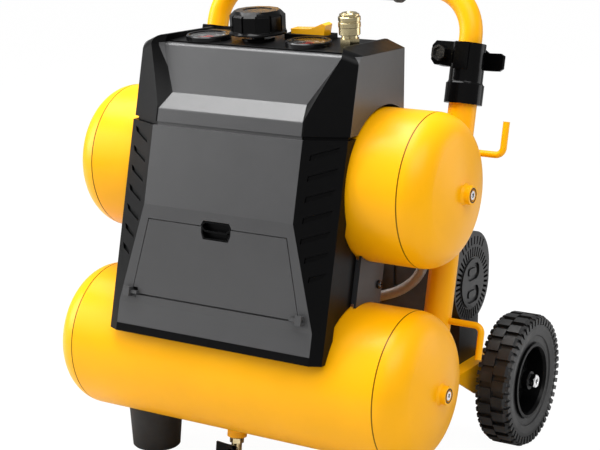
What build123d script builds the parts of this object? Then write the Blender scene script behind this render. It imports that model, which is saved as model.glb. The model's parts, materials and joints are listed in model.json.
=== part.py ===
from build123d import *
import math
import os

# Wheeled twin-tank portable air compressor, millimetres.
# Upright working frame: origin on the lower tank's axis, X to the machine's right as seen from
# the front, Y to the back, Z up. The two tanks, their posts, the shroud and the handle lean
# backwards together, so those pieces are drawn in a leaning frame: X, N square to the lean and
# towards the back, S up the lean. place() moves everything to the row frame at the end.

# ---- driving dimensions ----
LEAN = 12.7              # backward lean of the tank stack, degrees
GROUND = 138.4           # lower tank's axis above the floor
ORIGIN_Y = 116.77        # lower tank's axis to the middle of the footprint

TANK_R = 90.0
TANK_WALL = 2.5
TANK_SEAM_X = 210.0
TANK_APEX_X = 251.0
KNUCKLE_R = 36.0
TANK_PITCH = 226.9       # lower axis to upper axis, up the lean
BUNG_R = 11.0
BUNG_X = 260.0
PLUG_R = 7.0
LINK_X = -60.0
DRAIN_X = -20.0
DRAIN_ANGLE = -96.0
SAFETY_X = -120.0
SAFETY_ANGLE = 8.0
HOSE_X = 75.0
HOSE_ANGLE = 25.0
HOSE_R = 6.6

POST_X = 182.7
POST_N = 109.1
POST_R = 17.0
POST_WALL = 1.3
HOOK_R = 4.0
HOOK_X = 242.0           # upright end of each cord hook
HOOK_RISE = 40.0
HANDLE_R = 14.0
HANDLE_WALL = 1.5
HANDLE_TOP_S = 471.5
HANDLE_BEND_R = 58.0
HANDLE_FOOT_S = 70.0
GRIP_R = 19.0
GRIP_HALF = 84.0
CLAMP_S0 = 333.0         # foot of the sleeve
CLAMP_S1 = 376.6         # foot of the split collar
CLAMP_S2 = 406.0
EAR_X = 30.0             # clamp bolt, inwards from the tube's axis
CLAMP_MID = 391.0

PLATE_Z = -30.0          # top of the base plate
PLATE_T = 3.0
PLATE_HALF = 200.0
PLATE_BACK_Y = 267.0
AXLE_Y = 247.0
AXLE_R = 6.0
AXLE_HALF = 262.0
HUB_FACE = 254.5
STUD_R = 4.0
WHEEL_R = 84.0
AXLE_Z = WHEEL_R - GROUND
WHEEL_X = 237.0          # middle of each tyre

SHELL_T = 3.0            # shroud walls
CHAMFER_X = 102.4        # inner edge of the chamfered cheeks
FOLD_X = 147.5           # outer edge of the chamfered cheeks
FRONT_N = -119.2         # front face above the knee
FOLD_N = -97.5
CHEEK_SLOPE = (FOLD_N - FRONT_N) / (FOLD_X - CHAMFER_X)
STRIP_N = -79.5          # back edge of the narrow strip behind each cheek
KNEE_S = 172.7           # where the front starts to slope in towards its foot
STRIP_S = 54.2           # top of the upright strip under the door
BASE_N = -104.0
COVER_LOW_Z = 49.7
COVER_TOP_Z = 285.2
CHEEK_LOW_Z = 40.3

DOOR_TOP_S = 156.5
DOOR_LOW_S = 64.0
DOOR_TOP_HALF = 95.5
DOOR_LOW_HALF = 116.5
BAY_BACK_N = -60.0       # back of the accessory bay behind the door
HINGE_X = 119.0
HINGE_N = -108.6
HINGE_S = 66.9
DOOR_GAP = 1.0
DOOR_SWING_R = 6.9       # swept by the door's lower back edge
SLOT_COUNT = 7
SLOT_PITCH = 23.3
SLOT_TOP_S = 243.8
SLOT_X0 = 111.2
SLOT_X1 = 140.5
SLOT_SLANT = 0.458
SLOT_FLOOR = 0.6
SCREW_N = 14.0
SCREW_S = 111.0

HOUSING_LOW_Z = 289.0
HOUSING_TOP_Z = 384.3
HOUSING_BACK_Y = 94.0
LIP_N = -116.8           # front lip of the control housing
LIP_X = 100.8
SHOULDER_X = 148.0
SHOULDER_Z = 375.5
BROW_R = 14.0
LEDGE_N = -101.7         # back of the sloping ledge
LEDGE_S = 306.1
LEDGE_HALF = 92.0
RECESS_SLOPE = 0.2476
DECK_HALF = 121.0
DECK_Z = 375.0           # deck height at Y = 0
DECK_RISE = 0.0637

GAUGES = ((-80.0, 27.0), (57.0, 30.0))
KNOB = (-22.0, 46.0)
KNOB_R = 33.4
KNOB_LOBES = 12
ROCKER = (35.0, 72.0)
COUPLER = (105.5, 41.0)
GAUGE_R = 27.0
ROCKER_H = 4.0           # rocker pivot above the deck
ROCKER_ACROSS = 8.1      # half the rocker's width
RISER_X = 20.0           # pipe from the top of the upper tank to the manifold
RISER_Y = TANK_PITCH * math.sin(math.radians(LEAN))
GLAND_X = -88.0
GLAND_Z = 340.0

PUMP_Y = 217.9           # crankshaft axis
PUMP_Z = 69.7
CYLINDER_X = 110.0
THROW = 8.0              # crank radius
BORE_R = 24.0
ROD_LENGTH = 59.5

RUN = 0.05               # radial clearance of a running fit
GAP = 0.3                # clearance between covers


# ---- helpers ----
def lean(shape):
    """Leaning frame (X, N, S) to the upright working frame."""
    return Rot(-LEAN, 0, 0) * shape


def place(shape):
    return Pos(0, -ORIGIN_Y, GROUND) * shape


def mirror_x(shape):
    return mirror(shape, about=Plane.YZ)


def rod(start, direction, radius, length):
    return Plane(origin=start, z_dir=direction) * extrude(Circle(radius), length)


def tube(start, direction, outer, inner, length):
    return rod(start, direction, outer, length) - rod(start, direction, inner, length)


def hexagon(start, direction, across_flats, length):
    section = RegularPolygon(across_flats / 2, 6, major_radius=False)
    return Plane(origin=start, z_dir=direction) * extrude(section, length)


def block(x0, x1, y0, y1, z0, z1):
    return Pos((x0 + x1) / 2, (y0 + y1) / 2, (z0 + z1) / 2) * Box(x1 - x0, y1 - y0, z1 - z0)


def prism_x(points, x0, x1):
    """Polygon of (y, z) points, extruded from x0 to x1."""
    face = make_face(Polyline(*points, close=True))
    return Plane(origin=(x0, 0, 0), x_dir=(0, 1, 0), z_dir=(1, 0, 0)) * extrude(face, x1 - x0)


def prism_y(points, y0, y1):
    """Polygon of (x, z) points, extruded from y0 to y1."""
    face = make_face(Polyline(*points, close=True))
    return Plane(origin=(0, y0, 0), x_dir=(-1, 0, 0), z_dir=(0, 1, 0)) * mirror(
        extrude(face, y1 - y0), about=Plane.YZ
    )


def prism_z(points, z0, z1):
    """Polygon of (x, y) points, extruded from z0 to z1."""
    return Pos(0, 0, z0) * extrude(make_face(Polyline(*points, close=True)), z1 - z0)


def turned(points, start, direction):
    """Polygon of (radius, height) points turned about an axis."""
    section = make_face(Polyline(*points, close=True))
    solid = revolve(Plane.XZ * section, Axis.Z, 360)
    return Plane(origin=start, z_dir=direction) * solid


def swept_rod(path, radius):
    ring = Plane(origin=path @ 0, z_dir=path % 0) * Circle(radius)
    return sweep(ring, path)


def save(name, *shapes):
    """Write one node; all its solids are placed one by one in the row frame."""
    solids = [place(solid) for shape in shapes for solid in shape.solids()]
    body = solids[0] if len(solids) == 1 else Compound(solids)
    export_step(body, f"parts/{name}.step")


# ---- tanks ----
def tank_form(inset):
    """Cylinder with torispherical heads, drawn inset from the outer surface."""
    knuckle_x = 207.0
    centre_r = TANK_R - KNUCKLE_R
    reach = TANK_APEX_X - knuckle_x
    crown_r = (reach**2 + centre_r**2 - KNUCKLE_R**2) / (2 * (reach - KNUCKLE_R))
    crown_x = TANK_APEX_X - crown_r
    slope = math.atan2(centre_r, knuckle_x - crown_x)
    radius = TANK_R - inset
    small = KNUCKLE_R - inset
    big = crown_r - inset
    middle = (math.pi / 2 + slope) / 2
    shoulder = (knuckle_x + small * math.cos(slope), centre_r + small * math.sin(slope))
    bulge = (knuckle_x + small * math.cos(middle), centre_r + small * math.sin(middle))
    dome = (crown_x + big * math.cos(slope / 2), big * math.sin(slope / 2))
    outline = [
        Line((0, 0), (0, radius)),
        Line((0, radius), (knuckle_x, radius)),
        ThreePointArc((knuckle_x, radius), bulge, shoulder),
        ThreePointArc(shoulder, dome, (crown_x + big, 0)),
        Line((crown_x + big, 0), (0, 0)),
    ]
    half = revolve(make_face(outline), Axis.X, 360)
    return half + mirror_x(half)


def bung(side):
    """Welded threaded boss in the middle of a head, with its fillet of weld."""
    fillet = [(0, 0), (BUNG_R + 4, 0), (BUNG_R, 5), (0, 5)]
    root = turned(fillet, (side * (TANK_APEX_X - 2.5), 0, 0), (side, 0, 0))
    return root + rod((side * 240, 0, 0), (side, 0, 0), BUNG_R, BUNG_X - 240)


def tank(ports):
    """Pressure vessel about X, with radial ports given as (x, angle, radius, length)."""
    body = tank_form(0)
    groove = tube((TANK_SEAM_X - 0.6, 0, 0), (1, 0, 0), TANK_R + 1, TANK_R - 0.7, 1.2)
    body = body - groove - mirror_x(groove)
    body = body + bung(1) + bung(-1)
    directions = []
    for x, angle, radius, length in ports:
        a = math.radians(angle)
        way = (0, math.cos(a), math.sin(a))
        directions.append((x, way))
        body = body + rod((x, 80 * way[1], 80 * way[2]), way, radius, TANK_R - 80 + length)
    body = body - tank_form(TANK_WALL)
    body = body - rod((-270, 0, 0), (1, 0, 0), PLUG_R, 540)
    for x, way in directions:
        body = body - rod((x, 60 * way[1], 60 * way[2]), way, 6.0, 60)
    return body


def tank_plugs():
    """Socket-head screw plugs, one in each end of each tank."""
    plugs = []
    for side in (1, -1):
        plug = rod((side * 243, 0, 0), (side, 0, 0), PLUG_R, 14)
        plug = plug + rod((side * 256, 0, 0), (side, 0, 0), 5.2, 4)
        plug = plug - hexagon((side * 256, 0, 0), (side, 0, 0), 5.0, 8)
        plugs.append(plug)
        plugs.append(lean(Pos(0, 0, TANK_PITCH) * plug))
    return plugs


def tank_link():
    """Short pipe that joins the air in the two tanks, screwed into facing bosses."""
    low = TANK_R + 6
    high = TANK_PITCH - TANK_R - 6
    pipe = tube((LINK_X, 0, low - 12), (0, 0, 1), 5.9, 4.0, high - low + 24)
    for s in (low, high - 9):
        nut = hexagon((LINK_X, 0, s), (0, 0, 1), 19, 9)
        pipe = pipe + nut - rod((LINK_X, 0, s), (0, 0, 1), 4.0, 9)
    return lean(pipe)


# ---- frame ----
def post(side):
    x = side * POST_X
    long = tube((x, POST_N, -70), (0, 0, 1), POST_R, POST_R - POST_WALL, 70 + 372)
    foot = lean(long) & block(-300, 300, 0, 400, PLATE_Z, 600)
    saddles = []
    for s, low in ((0, 2), (TANK_PITCH, -16)):
        pad = block(x - 9, x + 9, 80, POST_N - POST_R + 3, s + low, s + 18)
        pad = pad - rod((x - 20, 0, s), (1, 0, 0), TANK_R, 40)
        pad = pad - rod((x, POST_N, s - 30), (0, 0, 1), POST_R - 0.5, 60)
        saddles.append(lean(pad))
    return foot + saddles[0] + saddles[1]


def cord_hook(s, up):
    """Bent rod welded to the right-hand post, to wind a cord on."""
    start = POST_X + POST_R - 1
    tip = s + up * HOOK_RISE
    path = FilletPolyline((start, POST_N, s), (HOOK_X, POST_N, s), (HOOK_X, POST_N, tip), radius=9)
    hook = swept_rod(path, HOOK_R)
    return lean(hook - rod((POST_X, POST_N, s - 30), (0, 0, 1), POST_R, 60))


def base_plate():
    """Pressed steel tray welded to the lower tank, with the axle channel under its back edge."""
    low = PLATE_Z - PLATE_T
    tray = block(-PLATE_HALF, PLATE_HALF, 60, PLATE_BACK_Y, PLATE_Z - 9, PLATE_Z)
    inner = block(-PLATE_HALF + 3, PLATE_HALF - 3, 40, PLATE_BACK_Y - 3, PLATE_Z - 12, low)
    tray = tray - inner
    channel = block(-PLATE_HALF, PLATE_HALF, AXLE_Y - 17, AXLE_Y + 17, PLATE_Z - 38, low)
    hollow = block(-PLATE_HALF + 3, PLATE_HALF - 3, AXLE_Y - 14, AXLE_Y + 14, PLATE_Z - 35, low)
    channel = channel - hollow
    for side in (1, -1):
        arm_x = side * (PLATE_HALF - 1.5)
        arm = block(arm_x - 1.5, arm_x + 1.5, 78, PLATE_BACK_Y, PLATE_Z - 38, low)
        slope = prism_x([(60, -100), (200, -100), (200, -68), (150, -39.1), (60, -39.1)], -300, 300)
        channel = channel + (arm - slope)
    plate = tray + channel
    plate = plate - rod((-300, 0, 0), (1, 0, 0), TANK_R, 600)
    return plate - rod((-300, AXLE_Y, AXLE_Z), (1, 0, 0), AXLE_R, 600)


def axle():
    """Axle bar, turned down to a drilled stud at both ends."""
    bar = rod((-AXLE_HALF, AXLE_Y, AXLE_Z), (1, 0, 0), STUD_R, 2 * AXLE_HALF)
    bar = bar + rod((-HUB_FACE, AXLE_Y, AXLE_Z), (1, 0, 0), AXLE_R, 2 * HUB_FACE)
    for side in (1, -1):
        bar = bar - rod((side * (AXLE_HALF - 4), AXLE_Y, AXLE_Z), (side, 0, 0), 2.4, 6)
    return bar


def axle_nut(side):
    """Nut on the axle's stud, against the hub."""
    nut = hexagon((side * HUB_FACE, AXLE_Y, AXLE_Z), (side, 0, 0), 16, 8)
    cap = [(0, 0), (7.4, 0), (9.6, 2.0), (9.6, 20), (0, 20)]
    crown = turned(cap, (side * (HUB_FACE + 8), AXLE_Y, AXLE_Z), (-side, 0, 0))
    return (nut & crown) - rod((side * HUB_FACE, AXLE_Y, AXLE_Z), (side, 0, 0), STUD_R, 12)


def foot(x):
    """Tapered rubber foot that cups the underside of the lower tank."""
    top = -76.0
    side = [(0, 0), (28.5, 0), (30, 1.5), (34.5, top + GROUND), (0, top + GROUND)]
    pad = turned(side, (x, 0, -GROUND), (0, 0, 1))
    pad = pad - rod((x - 60, 0, 0), (1, 0, 0), TANK_R, 120)
    return pad - turned([(0, -1), (20, -1), (17, 3), (0, 3)], (x, 0, -GROUND), (0, 0, 1))


# ---- drain ----
def drain_direction():
    a = math.radians(DRAIN_ANGLE)
    return Vector(0, math.cos(a), math.sin(a))


def drain_point(distance, x=DRAIN_X):
    way = drain_direction()
    return (x, way.Y * distance, way.Z * distance)


def drain_valve():
    """Brass quarter-turn cock screwed into the drain boss."""
    way = drain_direction()
    body = rod(drain_point(94), way, 5.95, 9)
    body = body + hexagon(drain_point(102), way, 15, 6)
    body = body + rod(drain_point(108), way, 6.5, 16)
    body = body + rod(drain_point(124), way, 5.0, 5)
    trunnion = rod(drain_point(115), (0, way.Z, -way.Y), 5.0, 9)
    body = body + trunnion - rod(drain_point(95), way, 2.5, 40)
    return body


def drain_stem():
    """Spindle axis of the drain cock, and where the lever sits on it."""
    way = drain_direction()
    out = Vector(0, way.Z, -way.Y)
    point = Vector(*drain_point(115)) + out * 9.1
    return point, out


def drain_lever():
    point, out = drain_stem()
    plane = Plane(origin=point, x_dir=(-1, 0, 0), z_dir=out)
    grip = Polyline((-6, -5.5), (8, -5.5), (22, -6.5), (22, 6.5), (8, 5.5), (-6, 5.5), close=True)
    lever = plane * extrude(make_face(grip), 3)
    boss = plane * extrude(Circle(5.5), 6)
    return lever + boss - plane * (Pos(0, 0, 3) * extrude(RegularPolygon(2.4, 6), 4))


# ---- telescopic handle and its clamps ----
def clamp(side):
    """Sleeve fixed on the post, with a split collar round the sliding tube."""
    x = side * POST_X
    body = Pos(x, POST_N, CLAMP_S0) * extrude(Circle(23), 24)
    neck = [(0, 0), (23, 0), (20.5, 5), (20.5, CLAMP_S1 - CLAMP_S0 - 22), (0, 22)]
    body = body + turned(neck, (x, POST_N, CLAMP_S0 + 22), (0, 0, 1))
    collar = Pos(x, POST_N, CLAMP_S1 - 3) * extrude(Circle(20), CLAMP_S2 - CLAMP_S1 + 3)
    inward = x - side * EAR_X
    far = inward - side * 13
    low, high = CLAMP_S1 + 0.5, CLAMP_S2
    plate = [(x, low - 3), (inward, low), (inward - side * 8, low), (far, low + 6)]
    plate = plate + [(far, high - 6), (inward - side * 8, high), (x, high)]
    collar = collar + prism_y(plate, POST_N - 13, POST_N + 13)
    collar = collar + block(x - 9, x + 9, POST_N - 21.5, POST_N, CLAMP_S1 - 3, CLAMP_S2)
    slot = block(
        min(x, x - side * 50), max(x, x - side * 50), POST_N - 1.5, POST_N + 1.5, CLAMP_S1, CLAMP_S2 + 5
    )
    collar = collar - slot
    body = body + collar
    body = body - rod((x, POST_N, CLAMP_S0 - 1), (0, 0, 1), POST_R, 40)
    body = body - rod((x, POST_N, CLAMP_S0), (0, 0, 1), HANDLE_R + GAP, 90)
    body = body - rod((inward, POST_N - 20, CLAMP_MID), (0, 1, 0), 4.0, 40)
    return lean(body)


def clamp_bolt(side):
    """Long bolt through the ears: a hollow hexagon nut in front, the lever's eye behind."""
    x = side * (POST_X - EAR_X)
    shank = rod((x, POST_N - 19, CLAMP_MID), (0, 1, 0), 3.9, 41)
    nut = hexagon((x, POST_N - 23, CLAMP_MID), (0, 1, 0), 17, 10)
    nut = nut - hexagon((x, POST_N - 23, CLAMP_MID), (0, 1, 0), 12, 4)
    eye = rod((x, POST_N + 20, CLAMP_MID - 5), (0, 0, 1), 4.0, 10)
    return lean(shank + nut + eye - rod((x, POST_N + 20, CLAMP_MID - 9), (0, 0, 1), 2.0, 18))


def clamp_lever(side):
    """Cam lever behind the collar: turning it out lets the tube slide."""
    x = side * (POST_X - EAR_X)
    n = POST_N + 20
    reach = side * 68
    arm = [
        (x - side * 3, n - 6), (x + side * 6, n - 6), (x + side * 14, n + 2), (x + reach * 0.72, n + 2),
        (x + reach, n - 4), (x + reach + side * 1.5, n - 0.5), (x + reach * 0.74, n + 6.5),
        (x + side * 4, n + 7), (x - side * 5, n + 4),
    ]
    lever = prism_z(arm, CLAMP_MID - 24, CLAMP_MID + 12)
    low = [
        (x - side * 8, CLAMP_MID - 12), (x + side * 12, CLAMP_MID - 12), (x + side * 40, CLAMP_MID - 14.5),
        (x + reach - side * 4, CLAMP_MID - 14.5), (x + reach + side * 2, CLAMP_MID - 11),
        (x + reach + side * 2, CLAMP_MID + 4), (x + reach - side * 4, CLAMP_MID + 7),
        (x + side * 46, CLAMP_MID + 7), (x + side * 40, CLAMP_MID + 11), (x - side * 8, CLAMP_MID + 11),
    ]
    lever = lever & prism_y(low, n - 20, n + 20)
    lever = lever - block(x - 5.5, x + 5.5, n - 12, n + 5.5, CLAMP_MID - 5.3, CLAMP_MID + 5.3)
    lever = lever + rod((x, n, CLAMP_MID - 11), (0, 0, 1), 2.0 - RUN, 22)
    return lean(lever)


def handle_path(foot_s):
    x = POST_X
    s = HANDLE_TOP_S
    return FilletPolyline(
        (-x, POST_N, foot_s), (-x, POST_N, s), (x, POST_N, s), (x, POST_N, foot_s),
        radius=HANDLE_BEND_R,
    )


def handle_tube():
    path = handle_path(HANDLE_FOOT_S)
    outer = swept_rod(path, HANDLE_R)
    return lean(outer - swept_rod(path, HANDLE_R - HANDLE_WALL))


def handle_grip():
    end = [(0, 0), (GRIP_R + 1, 0), (GRIP_R + 2.5, 2), (GRIP_R + 2.5, 7), (GRIP_R, 10), (0, 10)]
    grip = rod((-GRIP_HALF + 1, POST_N, HANDLE_TOP_S), (1, 0, 0), GRIP_R, 2 * GRIP_HALF - 2)
    for side in (1, -1):
        start = (side * GRIP_HALF, POST_N, HANDLE_TOP_S)
        grip = grip + turned(end, start, (-side, 0, 0))
    bore = rod((-GRIP_HALF - 1, POST_N, HANDLE_TOP_S), (1, 0, 0), HANDLE_R, 2 * GRIP_HALF + 2)
    return lean(grip - bore)


# ---- wheels ----
def tyre():
    """Solid rubber tyre with two staggered rows of lugs, about X at the right-hand wheel."""
    half = 20.5
    side = [
        (46, -16), (50, -17), (57, -17.5), (58, -19), (67, -half), (74, -half), (79.5, -17.5),
        (79.5, 17.5), (74, half), (67, half), (58, 19), (57, 17.5), (50, 17), (46, 16),
    ]
    centre = (WHEEL_X, AXLE_Y, AXLE_Z)
    body = turned(side, centre, (1, 0, 0))
    lug = [(74, 0.5), (WHEEL_R, 0.5), (WHEEL_R, 15.5), (81, 18.5), (74, 18.5)]
    shoulder = [(76, 16), (82.2, 16), (80.4, 21.8), (72, 21.8), (70.5, 19.5)]
    teeth = []
    for outline, count, share in ((lug, 26, 0.62), (shoulder, 52, 0.55)):
        for row in (1, -1):
            section = make_face(Polyline(*[(r, row * h) for r, h in outline], close=True))
            tooth = revolve(Plane.XZ * section, Axis.Z, 360 / count * share)
            for k in range(count):
                angle = 360 / count * (k + (0.5 if row > 0 else 0))
                teeth.append(Plane(origin=centre, z_dir=(1, 0, 0)) * (Rot(0, 0, angle) * tooth))
    return body + teeth


def rim():
    """Dished rim moulding with its hub, about X at the right-hand wheel."""
    centre = (WHEEL_X, AXLE_Y, AXLE_Z)
    bore = AXLE_R + RUN
    side = [
        (bore, -20), (15, -20), (15, -9), (40, -14), (42.5, -18), (46, -18), (46, 18), (48, 18),
        (48, 20), (44, 20), (42, 16), (39.5, -5), (34, -7), (17, 2), (11.5, 9), (11.5, 17), (bore, 17),
    ]
    return turned(side, centre, (1, 0, 0))


# ---- lower shroud, leaning frame ----
def bay_form(inset, front_n, chamfer_x, fold_x, back_n):
    """Leaning bay window: flat front, chamfered cheeks and short sides, at any wall depth."""
    run = inset * math.sqrt(1 + CHEEK_SLOPE**2)
    front = front_n + inset
    side = fold_x - inset
    edge_x = chamfer_x + (inset - run) / CHEEK_SLOPE
    edge_n = front_n + (side - chamfer_x) * CHEEK_SLOPE + run
    points = [(-side, back_n), (-side, edge_n), (-edge_x, front)]
    points = points + [(edge_x, front), (side, edge_n), (side, back_n)]
    return prism_z(points, -60, 480)


def lower_form(inset, back_n):
    """Bay window of the front cover, its front sloping in below the knee to the bottom strip."""
    form = bay_form(inset, FRONT_N, CHAMFER_X, FOLD_X, back_n)
    strip_n = BASE_N + inset
    knee_n = FRONT_N + inset
    cut = [(knee_n, KNEE_S), (strip_n, STRIP_S), (strip_n, -80), (-170, -80), (-170, KNEE_S)]
    return form - prism_x(cut, -200, 200)


def front_outline(shrink):
    """Outline of the grey front between the cheeks."""
    top = CHAMFER_X - shrink
    low = CHAMFER_X + (BASE_N - FRONT_N) / CHEEK_SLOPE - shrink
    right = [(low, -60), (low, STRIP_S), (top, KNEE_S), (top, 330)]
    left = [(-x, s) for x, s in reversed(right)]
    return prism_y(left + right, -140, -40)


def door_outline(shrink, back_n):
    top = DOOR_TOP_HALF - shrink
    low = DOOR_LOW_HALF - shrink
    high_s = DOOR_TOP_S - shrink
    low_s = DOOR_LOW_S + shrink
    return prism_y([(-top, high_s), (-low, low_s), (low, low_s), (top, high_s)], -140, back_n)


def layer(outer, inner):
    """Skin of the lower shroud between two depths."""
    return lower_form(outer, STRIP_N) - lower_form(inner, STRIP_N + 40)


def latch_outline(grow):
    half = 20 + grow
    left = [(3 - half, 162 + grow), (-half, 158), (-half, 148.5), (3 - half, 141.5 - grow)]
    right = [(-x, s) for x, s in reversed(left)]
    return prism_y(left + right, -140, -60)


def lip_outline():
    points = [(-21, 155), (-15, 150), (15, 150), (21, 155)]
    points = points + [(21, 157.2), (14.2, 151.8), (-14.2, 151.8), (-21, 157.2)]
    return prism_y(points, -140, -60)


def front_cover():
    """Grey front moulding with the accessory bay behind its door."""
    skin = layer(0, SHELL_T) & front_outline(GAP / 2)
    skin = skin - door_outline(0, -60) - latch_outline(GAP)
    rim_ring = layer(SHELL_T + GAP, SHELL_T + 2.5 + GAP) & (door_outline(-5, -60) - door_outline(7, -60))
    bond = layer(SHELL_T - 0.5, SHELL_T + 1) & (door_outline(-5, -60) - door_outline(-1, -60))
    rim_ring = rim_ring + bond
    rim_ring = rim_ring - rod((-HINGE_X, HINGE_N, HINGE_S), (1, 0, 0), DOOR_SWING_R, 2 * HINGE_X)
    bay = door_outline(7, BAY_BACK_N) - door_outline(9.5, BAY_BACK_N - 2.5)
    bay = bay & lower_form(SHELL_T + GAP, 0)
    latch_room = latch_outline(GAP + 0.5) - lower_form(SHELL_T + 7, STRIP_N + 40)
    cover = skin + rim_ring + bay - latch_room
    for side in (1, -1):
        near = side * HINGE_X
        ear = block(near - 4, near + 4, HINGE_N - 4.5, -98.5, HINGE_S - 5.5, HINGE_S + 5.5)
        ear = ear + block(near - 10, near + 10, -99, -96.5, HINGE_S - 8, HINGE_S + 8)
        notch = block(near - 8.5, near + 8.5, -112, -98, HINGE_S - 6.5, HINGE_S + 6.5)
        post_block = block(near - 4, near + 8.5, -105.5, -98, HINGE_S - 6.5, HINGE_S + 6.5)
        cover = cover - (notch & door_outline(-0.1, -60)) + ear + (post_block - door_outline(-0.1, -60))
        cover = cover - rod((near - 8, HINGE_N, HINGE_S), (1, 0, 0), 2.0 + RUN, 16)
    return lean(cover) & block(-400, 400, -400, 400, COVER_LOW_Z, COVER_TOP_Z)


def service_door():
    """Drop-down door, hung on two stub pins at its lower corners."""
    door = layer(0, SHELL_T) & door_outline(DOOR_GAP, -60)
    door = door - block(-150, 150, -140, -60, 0, DOOR_LOW_S + 2 * DOOR_GAP)
    door = door - latch_outline(GAP)
    for side in (1, -1):
        near = side * HINGE_X
        ear_room = block(near - 4.4, near + 12, -130, -60, HINGE_S - 6, HINGE_S + 6)
        door = door - ear_room
        inner = near - side * 9
        web = block(inner - 4.2, inner + 4.2, HINGE_N - 2, -103.5, HINGE_S - 1.9, HINGE_S + 2)
        door = door + web + rod((inner, HINGE_N, HINGE_S), (side, 0, 0), 2.0, 11)
    return lean(door)


def door_latch():
    """Black finger cup across the door's top edge, with a folded lip to pull on."""
    cup = layer(0.4, SHELL_T + 6) & latch_outline(0)
    hollow = layer(-1, SHELL_T + 4) & latch_outline(-1.6)
    lip = layer(0.1, SHELL_T + 5) & lip_outline() & latch_outline(0)
    return lean(cup - hollow + lip)


def vent_slot(k):
    """Slanting slot in a chamfered cheek, seen square to the front, closed by a thin wall."""
    s = SLOT_TOP_S - k * SLOT_PITCH
    edge = CHAMFER_X + max(0.0, KNEE_S - s) * (BASE_N - FRONT_N) / CHEEK_SLOPE / (KNEE_S - STRIP_S)
    inner = max(SLOT_X0, edge + 3)
    points = []
    for x, lift in ((inner, 0), (inner + 0.6, 6.4), (SLOT_X1, 5.6), (SLOT_X1 - 3, 0)):
        points.append((x, s + (x - SLOT_X0) * SLOT_SLANT + lift))
    return prism_y(points, -140, -60) - lower_form(SHELL_T - SLOT_FLOOR, STRIP_N + 40)


def vent_panel(side):
    """Black cheek: slotted chamfer, step back to the side plate, and half the strip below the cover."""
    skin = layer(0, SHELL_T) - front_outline(-GAP / 2)
    half = skin & block(0, 200, -140, STRIP_N, -100, 400)
    for k in range(SLOT_COUNT):
        half = half - vent_slot(k)
    step = block(FOLD_X - 9, FOLD_X - 6, STRIP_N - 3, -36, -40, 330)
    step = step + block(FOLD_X - 9, FOLD_X - 0.5, STRIP_N - 3, STRIP_N, -40, 330)
    panel = lean(half + step) & block(-400, 400, -400, 400, CHEEK_LOW_Z, COVER_TOP_Z)
    foot = lean(layer(0, SHELL_T) & block(GAP / 2, 200, -140, STRIP_N, -100, 200))
    panel = panel + (foot & block(0, 200, -400, 400, CHEEK_LOW_Z, COVER_LOW_Z - GAP))
    for s in (0, TANK_PITCH):
        panel = panel - lean(rod((-300, 0, s), (1, 0, 0), TANK_R + 2.5, 600))
    panel = panel.solids().sort_by(SortBy.VOLUME)[-1]
    return panel if side > 0 else mirror_x(panel)


def side_plate(side):
    """Steel plate between the tanks, shaped round both, that carries the shroud's edge."""
    x = side * (FOLD_X - 1.5)
    plate = block(x - 1.5, x + 1.5, -35, 22.5, 40, TANK_PITCH - 40)
    for s in (0, TANK_PITCH):
        plate = plate - rod((-300, 0, s), (1, 0, 0), TANK_R + 0.5, 600)
    flange_x = x - side * 8
    flange = block(min(flange_x, x), max(flange_x, x), 19.5, 22.5, 94, 132)
    tab = block(min(flange_x, x), max(flange_x, x), -35, -32, 88, 138)
    plate = plate + flange + tab - rod((x - 10, SCREW_N, SCREW_S), (1, 0, 0), 2.6, 20)
    return lean(plate)


def cover_screw(side):
    """Pan-head cross-recess screw that holds a side plate."""
    x = side * (FOLD_X + 0.02)
    head = turned([(0, 0), (5.4, 0), (5.0, 2.2), (3.2, 3.4), (0, 3.6)], (x, SCREW_N, SCREW_S), (side, 0, 0))
    for wide, high in ((5.4, 1.3), (1.3, 5.4)):
        head = head - Pos(x + side * 3, SCREW_N, SCREW_S) * Box(2.6, wide, high)
    return lean(head + rod((x, SCREW_N, SCREW_S), (-side, 0, 0), 2.5, 12))


# ---- control housing ----
def deck_z(y):
    return DECK_Z + DECK_RISE * y


def deck_plane(spot, height):
    """Plane parallel to the deck, at a height above it."""
    x, y = spot
    surface = Plane(origin=(x, y, deck_z(y)), x_dir=(1, 0, 0), z_dir=(0, -DECK_RISE, 1))
    return surface.offset(height)


def housing_form(inset):
    """Closed outer form of the top housing: leaning front, rounded brow, sloping shoulders."""
    top = HOUSING_TOP_Z - inset
    form = lean(bay_form(inset, LIP_N, LIP_X, SHOULDER_X, 260))
    form = form & block(-200, 200, -200, HOUSING_BACK_Y - inset, HOUSING_LOW_Z - 20, top)
    fall = (HOUSING_TOP_Z - SHOULDER_Z) / (SHOULDER_X - 125)
    drop = inset * math.sqrt(1 + fall**2)
    for side in (1, -1):
        high = HOUSING_TOP_Z - drop
        slope = [(side * 125, high), (side * 175, high - 50 * fall), (side * 175, 430), (side * 125, 430)]
        form = form - prism_y(slope, -200, 200)
    return form


def is_brow(edge):
    """True for the edges where the leaning front faces meet the top faces."""
    box = edge.bounding_box()
    return box.min.Z > SHOULDER_Z - 8 and box.max.Y < 40 and box.size.X > 2


def long_front_edges(shape, low_z, high_z):
    """Edges across the middle of the front, between two heights."""
    edges = [edge for edge in shape.edges() if edge.length > 150 and abs(edge.center().X) < 1]
    return [edge for edge in edges if low_z < edge.center().Z < high_z and edge.center().Y < 0]


def outline_ring(half, n_of_s):
    """Mirror half an outline of (x, s) points and stand it in the leaning frame."""
    points = half + [(-x, s) for x, s in reversed(half)]
    return Wire.make_polygon([(x, n_of_s(s), s) for x, s in points])


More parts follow.
